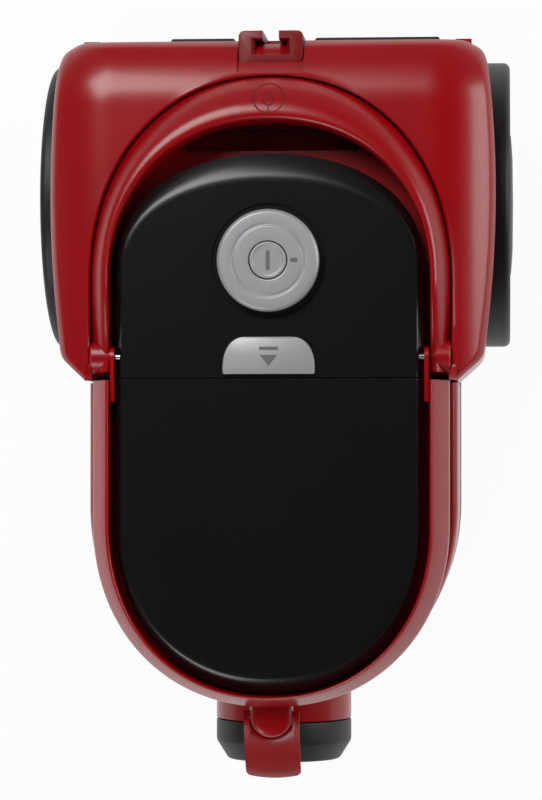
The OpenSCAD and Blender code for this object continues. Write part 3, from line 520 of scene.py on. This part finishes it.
def rear_shell():
    """Rear housing as a thin skin: from its foot or wheel arch up the wall, over a shoulder that flattens towards
    the well of the console and down the well's wall, with a pocket for the parking block."""
    out = housing_outline()
    well = arc_length(oval_path(110.3, SEAM_Y, 75, 200.8), len(out))
    # each outline point looks to the well's point at the same share of the way round
    side = np.abs(out[:, 0]) > 114.8
    over_wheel = side & (np.abs(out[:, 1] - AXLE[0]) < ARCH_R)
    foot = np.where(over_wheel, wheel_cut(out[:, 1]), SPLIT_Z)
    tucked = out.copy()
    tucked[:, 0] = np.where(side, np.sign(out[:, 0]) * 114.6, out[:, 0])
    tucked[:, 1] = np.minimum(tucked[:, 1], 221)
    reach = np.linalg.norm(well - out, axis=1)
    inward = (well - out) / reach[:, None]

    def dome(flat, d):
        """Height of the crown at the points of flat, d in from the wall."""
        q = np.hypot(np.clip(np.abs(flat[:, 0]) - CROWN_HALF, 0, None), np.clip(flat[:, 1] - CROWN_REAR, 0, None))
        return CROWN_ARC_Z + np.sqrt(CROWN_R ** 2 - q ** 2) - EDGE_DROP * np.clip(1 - d / EDGE_W, 0, 1) ** 2

    wall_top = dome(out, np.zeros(len(out)))
    rows = [np.column_stack([tucked, np.full(len(out), SPLIT_Z)]), np.column_stack([tucked, foot]),
            np.column_stack([out + inward * 0.5, foot]), np.column_stack([out, foot + 0.5])]
    for share in np.linspace(0.12, 1, 5):
        rows.append(np.column_stack([out, foot + 0.5 + (wall_top - foot - 0.5) * share]))
    for share in 1 - np.cos(np.linspace(0, math.pi / 2, 24))[1:]:
        flat = out + (well - out) * share
        rows.append(np.column_stack([flat, dome(flat, reach * share)]))
    rim = rows[-1]
    rows[-1] = rim + np.column_stack([-inward * 1.2, np.zeros(len(out))])
    rows.append(rim - [0, 0, 0.8])
    rows.append(np.column_stack([well, np.full(len(out), 200.0)]))
    rows.append(np.column_stack([well, np.full(len(out), 192.0)]))
    grid = np.stack(rows)
    shell = piece("rear_shell", grid.reshape(-1, 3), grid_faces(len(rows), grid.shape[1]), "case", "red_shell",
                  ["rear_housing"])
    if sum(face.normal.z * face.area for face in shell.data.polygons) < 0:
        shell.data.flip_normals()
    skin = shell.modifiers.new("skin", "SOLIDIFY")
    skin.thickness, skin.offset = 2 * MM, -1.0
    pocket = np.array([(20.4, 202.6), (20.4, 240), (-20.4, 240), (-20.4, 202.6)])
    cut(shell, [cutter(*prism(pocket, [(0, 141.6), (0, 240)]))])


rear_shell()


def recess_outline(inset=0.0, lean=0.0):
    """Outline of the finger recess: wide at the rear under the grip, angled ends, rounded corners. lean moves its
    front edge back."""
    wide, narrow, y0, y1 = 62 - inset, 57 - inset, 154.6 + inset + lean, 171 - inset
    right = rounded([(0, y0), (narrow, y0), (wide, y1), (0, y1)], 4, 6)[1:-1]
    return np.concatenate([right, right[::-1] * [-1, 1]])


def stacked(loops, heights):
    """Points and faces of a closed solid through outlines of equal length, one at each height."""
    return capped(np.stack([np.column_stack([loop, np.full(len(loop), z)]) for loop, z in zip(loops, heights)]))


well_floor = loft("well_floor", [(110.2, SEAM_Y + 1, 75, 200.7, z) for z in (191.5, WELL_Z)], "case", "red_shell")
cut(well_floor, [cutter(*prism(recess_outline(), [(0, 180), (0, 200)]))])
tray_levels = [(0.08, 172), (0.02, 172.6), (0, 175), (0, 193.6), (0, WELL_Z + 0.3)]
# the tray takes the darker red, whose darker base colour is painted shade for the finger recess
tray = piece("finger_tray", *prism(recess_outline(), tray_levels), "case", "dark_red", ["finger_well"])
cut(tray, [cutter(*stacked([recess_outline(1.6, lean) for lean in (4.5, 3.2, 0.4, 0, 0)],
                           [187.0, 187.6, 192.5, 193.6, 200]))])

# frame that closes the rear housing's open front
jamb = np.array([(113.5, SPLIT_Z), (113.5, 207.5), (111.5, 210.5), (110.3, 210), (110.3, WELL_Z), (-110.3, WELL_Z),
                 (-110.3, 210), (-111.5, 210.5), (-113.5, 207.5), (-113.5, SPLIT_Z), (-111, SPLIT_Z), (-111, 184),
                 (111, 184), (111, SPLIT_Z)])
verts, faces = prism(jamb, [(0, SEAM_Y), (0, SEAM_Y + 2)])
piece("housing_jamb", verts[:, [0, 2, 1]], faces, "case", "red_shell")

# parking block: level top with rounded rear corners and a slot whose mouth widens
half_block = rounded([(0, 202.8), (19.8, 202.8), (19.8, 229), (0, 229)], 4, 6)[1:-1]
# the block takes the darker red, whose darker base colour is painted shade for its level top
block = piece("parking_block", *prism(np.concatenate([half_block, half_block[::-1] * [-1, 1]]),
                                      [(0, 142), (0, 204.8), (0.02, 205.7), (0.05, 206.0)]), "case", "dark_red",
              ["parking_slot"])

# upper lips of the exhaust on the rear wall, either side of the block
for label, x0, x1 in (("left", -64, -22), ("right", 25, 104)):
    lip = np.array([(x0, 223.6), (x1, 223.6), (x1 - 2, 226.2), (x0 + 2, 226.2)])
    piece(f"exhaust_lip_{label}", *prism(lip, [(0, 176), (0, 189), (0.01, 190)]), "case", "black_plastic")

slot = np.array([(10, 215), (10, 223.5), (-10, 223.5), (-10, 215)])
neck = np.array([(5, 222), (5, 240), (-5, 240), (-5, 222)])
cut(block, [cutter(*prism(slot, [(0, 146), (0, 203.2), (-0.2, 206.4)])), cutter(*prism(neck, [(0, 156), (0, 240)]))])


def panel_rings(y0, y_mid, y_end, base, top, back_inset):
    """Rings of the black panel: upright skirt, rounded bevel wider at the round end, and a flat top."""
    bevel, half = 6.0, 93.5
    rings = [(half, y0, y_mid, y_end, base), (half, y0, y_mid, y_end, top - bevel - 1)]
    for k in np.linspace(0, 1, 7):
        inset = 4 * k
        end = y_end - math.copysign(back_inset * k, y_end)
        rings.append((half - inset, y0, y_mid, end, top - bevel * (1 - k) ** 1.4))
    flat_half, _, _, end, z = rings[-1]
    rings.append((flat_half * 0.97, y0, y_mid, end - math.copysign(2.5, end), z))
    return rings


loft("lid_cover", panel_rings(SEAM_Y + 1, -75, -174, 203, 222, 8.5), "lid", "black_gloss", ["lid_panel"])


def button_outline(grow=0.0):
    """Outline of the release button: straight base, round shoulders, as a closed loop."""
    half, y0, length = 28.0 + grow, 18.5 - grow, 22.5 + 2 * grow
    across, along = 14.0 + grow, 19.0 + grow
    t = np.linspace(0, math.pi / 2, 16)
    right = np.stack([half - across + across * np.cos(t) ** 0.9, y0 + length - along + along * np.sin(t) ** 0.9], -1)
    foot = rounded([(half - 4, y0), (half, y0), (half, y0 + 3)], 1.0, 4)
    one = np.concatenate([foot, right])
    return np.concatenate([one, one[::-1] * [-1, 1]])


console = loft("console_cover", panel_rings(SEAM_Y + 1.5, 85, 152.5, WELL_Z, 222, 15), "case", "black_gloss",
               ["console"])
cut(console, [cutter(*prism(button_outline(0.4), [(0, 206), (0, 230)])),
              cutter(*prism(disc_outline(34.8, DIAL_Y), [(0, 221), (0, 230)])),
              cutter(*prism(disc_outline(11.6, DIAL_Y), [(0, 206), (0, 230)]))])


# ---------------------------------------------------------------- controls

dial = rounded([(13.3, 221.5), (30.6, 221.5), (31.1, 229.2), (29.3, 231.0), (22.6, 231.0), (22.2, 230.3),
                (21.1, 230.3), (20.7, 231.0), (12.2, 231.0), (11.7, 230.5), (11.7, 228.2), (13.3, 228.2),
                (13.3, 224.0)], 0.9, 4)
lathe("dial_cap", dial, (0, DIAL_Y, 0), "z", "dial", "silver", ["speed_dial"])
button = rounded([(0, 214), (11.1, 214), (11.1, 231.3), (9.4, 231.3), (8.9, 230.8), (4, 230.9), (0, 230.9)], 0.5, 4)
lathe("power_cap", button, (0, DIAL_Y, 0), "z", "power", "silver", ["power_button"])
piece("release_cap", *prism(button_outline(), [(0, 214), (0, 224.0), (0.012, 224.7), (0.05, 225.0)]),
      "release", "silver", ["release_button"])


def pill(cx, cy, half_x, half_y, z0, z1):
    """Points and faces of a low pad with round ends, centred at cx, cy."""
    t = np.linspace(0, 2 * math.pi, 32, endpoint=False)
    r = min(half_x, half_y)
    x = cx + r * np.cos(t) + np.sign(np.cos(t)) * (half_x - r)
    y = cy + r * np.sin(t) + np.sign(np.sin(t)) * (half_y - r)
    return prism(np.stack([x, y], -1), [(0, z0), (0, z1)])


piece("power_mark", *pill(0, DIAL_Y, 1.25, 6, 230.7, 231.05), "power", "silver", material=MARK)
piece("dial_mark", *pill(15.9, DIAL_Y, 2.4, 1.35, 230.8, 231.12), "dial", "silver", material=MARK)
bar = np.array([(-5.7, 33.0), (5.7, 33.0), (5.7, 35.0), (-5.7, 35.0)])
arrow = np.array([(-5.3, 30.0), (0, 23.2), (5.3, 30.0)])
piece("release_bar", *prism(bar, [(0, 224.8), (0, 225.1)]), "release", "silver", material=MARK)
piece("release_arrow", *prism(arrow, [(0, 224.8), (0, 225.1)]), "release", "silver", material=MARK)


# ---------------------------------------------------------------- inlet and wheels

ring = rounded([(30, -226), (36, -226), (43.5, -214), (43.5, -200.2), (30, -200.2), (30, -213)], 1.6, 5)
lathe("inlet_mouth", ring, (0, 0, INLET_Z), "y", "case", "black_plastic", ["inlet_ring"])
collar = rounded([(30, -199.8), (43.5, -199.8), (43.5, -166), (34, -166), (34, -151), (30, -151), (30, -175)], 0.8, 4)
lathe("inlet_neck", collar, (0, 0, INLET_Z), "y", "case", "red_shell", ["inlet_collar"])

tyre_profile = rounded([(84, 119), (89, 119), (91, 121.5), (91, 143.5), (88.5, 146), (84, 146), (84, 130)], 2.0, 5)
rim_profile = rounded([(0, 145), (0, 140), (6.1, 140), (6.1, 118), (15, 118), (15, 138), (80, 138), (80, 120),
                       (84, 120), (84, 145), (80, 145), (78, 141.5), (50, 141.5), (48, 145)], 1.2, 4)
cap_profile = rounded([(0, 145), (46, 145), (45, 146.6), (30, 147.7), (0, 148), (0, 146)], 1.5, 5)
for side, label in ((1, "right"), (-1, "left")):
    spot = (0, AXLE[0], AXLE[1])
    body = f"{label}_wheel"
    lathe(f"tread_{label}", tyre_profile, spot, "x", body, "tyre", [f"tyre_{label}"], mirror=side, steps=160)
    lathe(f"rim_{label}", rim_profile, spot, "x", body, "black_plastic", [f"wheel_{label}"], mirror=side, steps=128)
    lathe(f"cap_{label}", cap_profile, spot, "x", body, "black_plastic", [f"hub_cap_{label}"], mirror=side)


# ---------------------------------------------------------------- stage

def flat_white(name, colour, show):
    """Pale matt ground that the camera and reflections see at near white, keeping the object's shadow."""
    mat = bpy.data.materials.new(name)
    mat.use_nodes = True
    tree = mat.node_tree
    tree.nodes.clear()
    path = add(tree, "ShaderNodeLightPath")
    seen = add(tree, "ShaderNodeMath", {"operation": "MAXIMUM"})
    tree.links.new(path.outputs["Is Camera Ray"], seen.inputs[0])
    tree.links.new(path.outputs["Is Glossy Ray"], seen.inputs[1])
    share = add(tree, "ShaderNodeMath", {"operation": "MULTIPLY", 1: show})
    tree.links.new(seen.outputs[0], share.inputs[0])
    matt = add(tree, "ShaderNodeBsdfDiffuse", {"Color": linear(colour)})
    glow = add(tree, "ShaderNodeEmission", {"Color": (1, 1, 1, 1), "Strength": 1.0})
    both = add(tree, "ShaderNodeMixShader")
    tree.links.new(share.outputs[0], both.inputs[0])
    tree.links.new(matt.outputs[0], both.inputs[1])
    tree.links.new(glow.outputs[0], both.inputs[2])
    add(tree, "ShaderNodeOutputMaterial", Surface=both.outputs[0])
    return mat


floor_half = 6000
corners = [(x * floor_half * MM, y * floor_half * MM, -0.0002) for x, y in ((-1, -1), (1, -1), (1, 1), (-1, 1))]
floor_mesh = bpy.data.meshes.new("floor")
floor_mesh.from_pydata(corners, [], [(0, 1, 2, 3)])
floor_mesh.materials.append(flat_white("white_floor", "f6f6f6", 0.95))
floor = bpy.data.objects.new("floor", floor_mesh)
bpy.context.scene.collection.objects.link(floor)

world = bpy.data.worlds.new("studio")
bpy.context.scene.world = world
world.use_nodes = True
tree = world.node_tree
tree.nodes.clear()
path = add(tree, "ShaderNodeLightPath")
# the studio is dark overhead and pale round the sides, so level faces stay deep and slopes catch the light
place = add(tree, "ShaderNodeTexCoord").outputs["Generated"]
height = add(tree, "ShaderNodeSeparateXYZ", Vector=place).outputs["Z"]
dome = add(tree, "ShaderNodeMapRange", {"From Min": 0.15, "From Max": 0.92, "To Min": 0.22, "To Max": 0.03},
           Value=height)
soft = add(tree, "ShaderNodeBackground", {"Color": (1, 1, 1, 1)}, Strength=dome.outputs["Result"])
plain = add(tree, "ShaderNodeBackground", {"Color": (1, 1, 1, 1), "Strength": 1.0})
both = add(tree, "ShaderNodeMixShader")
tree.links.new(path.outputs["Is Camera Ray"], both.inputs[0])
tree.links.new(soft.outputs[0], both.inputs[1])
tree.links.new(plain.outputs[0], both.inputs[2])
add(tree, "ShaderNodeOutputWorld", Surface=both.outputs[0])


def lamp(name, place, target, size, watts):
    """Square soft box at place, facing target; metres and watts."""
    data = bpy.data.lights.new(name, "AREA")
    data.shape, data.size, data.energy = "SQUARE", size, watts
    obj = bpy.data.objects.new(name, data)
    bpy.context.scene.collection.objects.link(obj)
    obj.location = place
    obj.rotation_mode = "QUATERNION"
    obj.rotation_quaternion = (Vector(target) - Vector(place)).to_track_quat("-Z", "Y")


lamp("key", (-0.6, 1.1, 1.7), (0, 0.05, 0.15), 0.9, 21)
lamp("fill", (1.7, 0.5, 0.9), (0, 0, 0.15), 0.9, 13)
lamp("front", (-0.7, -1.4, 1.4), (0, 0, 0.15), 0.9, 12)

camera = bpy.data.cameras.new("camera")
camera.sensor_width, camera.lens = 36.0, 141.8
camera = bpy.data.objects.new("camera", camera)
bpy.context.scene.collection.objects.link(camera)
camera.location = (0.139, -0.027, 2.122)
back = (camera.location - Vector((0.0005, 0.003, 0.21))).normalized()
right = Vector((0, 1, 0)).cross(back).normalized()
camera.rotation_mode = "QUATERNION"
camera.rotation_quaternion = Matrix((right, back.cross(right), back)).transposed().to_quaternion()
bpy.context.scene.camera = camera
bpy.context.scene.view_settings.view_transform = "Standard"
